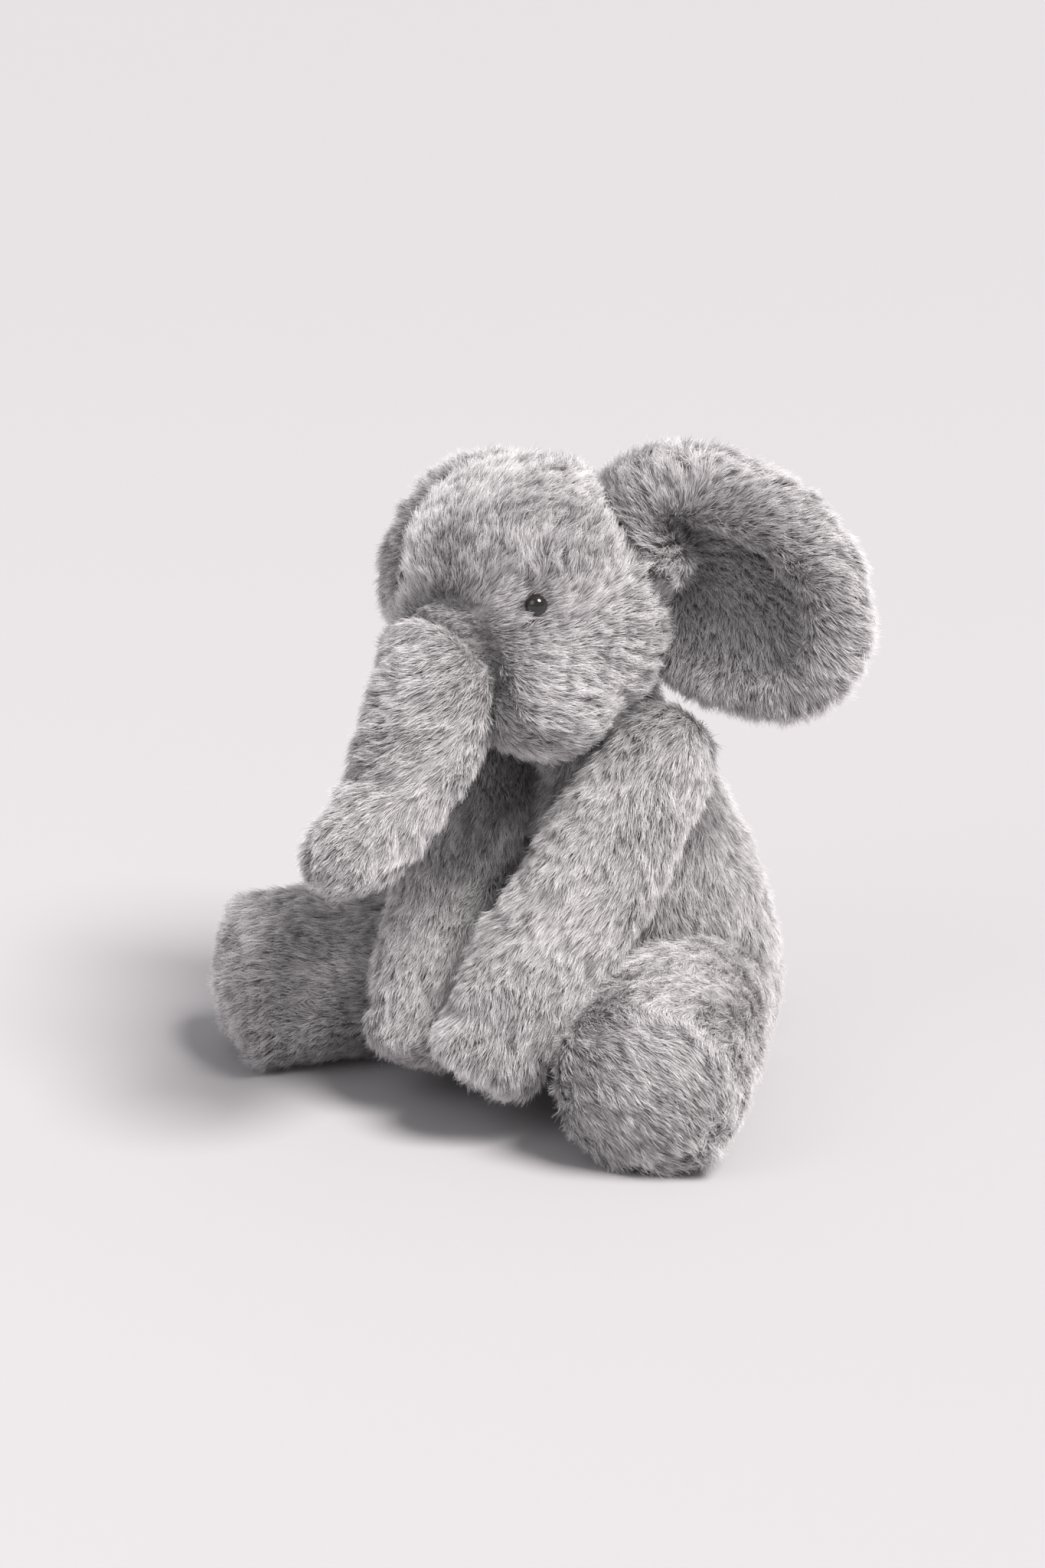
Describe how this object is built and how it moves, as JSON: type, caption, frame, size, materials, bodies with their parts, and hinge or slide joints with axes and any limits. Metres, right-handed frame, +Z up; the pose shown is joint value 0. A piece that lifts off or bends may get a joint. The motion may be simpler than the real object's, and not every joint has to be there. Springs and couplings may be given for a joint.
{
  "type": "stuffed elephant",
  "caption": "Seated stuffed elephant in long grey plush, with a trunk, large ears, arms and legs that swing at their sewn seams.",
  "frame": {"origin": "centre of the torso's flat seat, on the floor", "axes": "+Z up, -Y is the way the elephant faces, +X is its left side"},
  "size_m": [0.3276, 0.3275, 0.3275],
  "materials": {
    "plush": "long matte pile",
    "ear_plush": "long matte pile",
    "pad_plush": "long matte pile",
    "filling": "loose polyester fibre",
    "pellet_bag": "thin woven cloth full of pellets",
    "eye": "glossy",
    "washer": "matte"
  },
  "bodies": {
    "torso": {"torso_cover": "plush", "torso_filling": "filling", "pellet_bag": "pellet_bag"},
    "head": {"head_cover": "plush", "head_filling": "filling", "eye_left": "eye", "eye_right": "eye", "eye_washer_left": "washer", "eye_washer_right": "washer"},
    "trunk": {"trunk_cover": "plush", "trunk_filling": "filling"},
    "tail": {"tail_cover": "plush", "tail_filling": "filling"},
    "ear_left": {"ear_left_front": "ear_plush", "ear_left_padding": "filling", "ear_left_back": "plush"},
    "arm_left": {"arm_left_cover": "plush", "arm_left_filling": "filling", "arm_left_pad": "pad_plush"},
    "leg_left": {"leg_left_cover": "plush", "leg_left_filling": "filling", "leg_left_sole": "pad_plush"},
    "ear_right": {"ear_right_front": "ear_plush", "ear_right_padding": "filling", "ear_right_back": "plush"},
    "arm_right": {"arm_right_cover": "plush", "arm_right_filling": "filling", "arm_right_pad": "pad_plush"},
    "leg_right": {"leg_right_cover": "plush", "leg_right_filling": "filling", "leg_right_sole": "pad_plush"}
  },
  "joints": [
    {"name": "neck_nod", "type": "hinge", "parent": "torso", "child": "head", "pos_m": [0, -0.048, 0.186], "axis": [1, 0, 0], "range_deg": [-12, 4], "stiffness_Nm_per_rad": 1.5},
    {"name": "trunk_swing", "type": "hinge", "parent": "head", "child": "trunk", "pos_m": [0, -0.146, 0.236], "axis": [-1, 0, 0], "range_deg": [-6, 35], "stiffness_Nm_per_rad": 0.3},
    {"name": "ear_left_flap", "type": "hinge", "parent": "head", "child": "ear_left", "pos_m": [0.0472, -0.0495, 0.2555], "axis": [0.1759, 0.071, -0.9818], "range_deg": [-12, 12], "stiffness_Nm_per_rad": 0.1},
    {"name": "ear_right_flap", "type": "hinge", "parent": "head", "child": "ear_right", "pos_m": [-0.044, -0.041, 0.247], "axis": [-0.0499, 0.0017, 0.9988], "range_deg": [-12, 4], "stiffness_Nm_per_rad": 0.1},
    {"name": "arm_left_lift", "type": "hinge", "parent": "torso", "child": "arm_left", "pos_m": [0.054, -0.06, 0.174], "axis": [-0.8944, 0, 0.4472], "range_deg": [0, 50], "stiffness_Nm_per_rad": 0.2},
    {"name": "arm_right_lift", "type": "hinge", "parent": "torso", "child": "arm_right", "pos_m": [-0.054, -0.06, 0.174], "axis": [-0.8944, 0, -0.4472], "range_deg": [0, 50], "stiffness_Nm_per_rad": 0.2},
    {"name": "leg_left_splay", "type": "hinge", "parent": "torso", "child": "leg_left", "pos_m": [0.055, -0.03, 0.043], "axis": [0, 0, 1], "range_deg": [0, 25], "stiffness_Nm_per_rad": 0.3},
    {"name": "leg_right_splay", "type": "hinge", "parent": "torso", "child": "leg_right", "pos_m": [-0.055, -0.03, 0.043], "axis": [0, 0, -1], "range_deg": [0, 25], "stiffness_Nm_per_rad": 0.3},
    {"name": "tail_swing", "type": "hinge", "parent": "torso", "child": "tail", "pos_m": [0, 0.062, 0.052], "axis": [1, 0, 0], "range_deg": [0, 35], "stiffness_Nm_per_rad": 0.02}
  ]
}
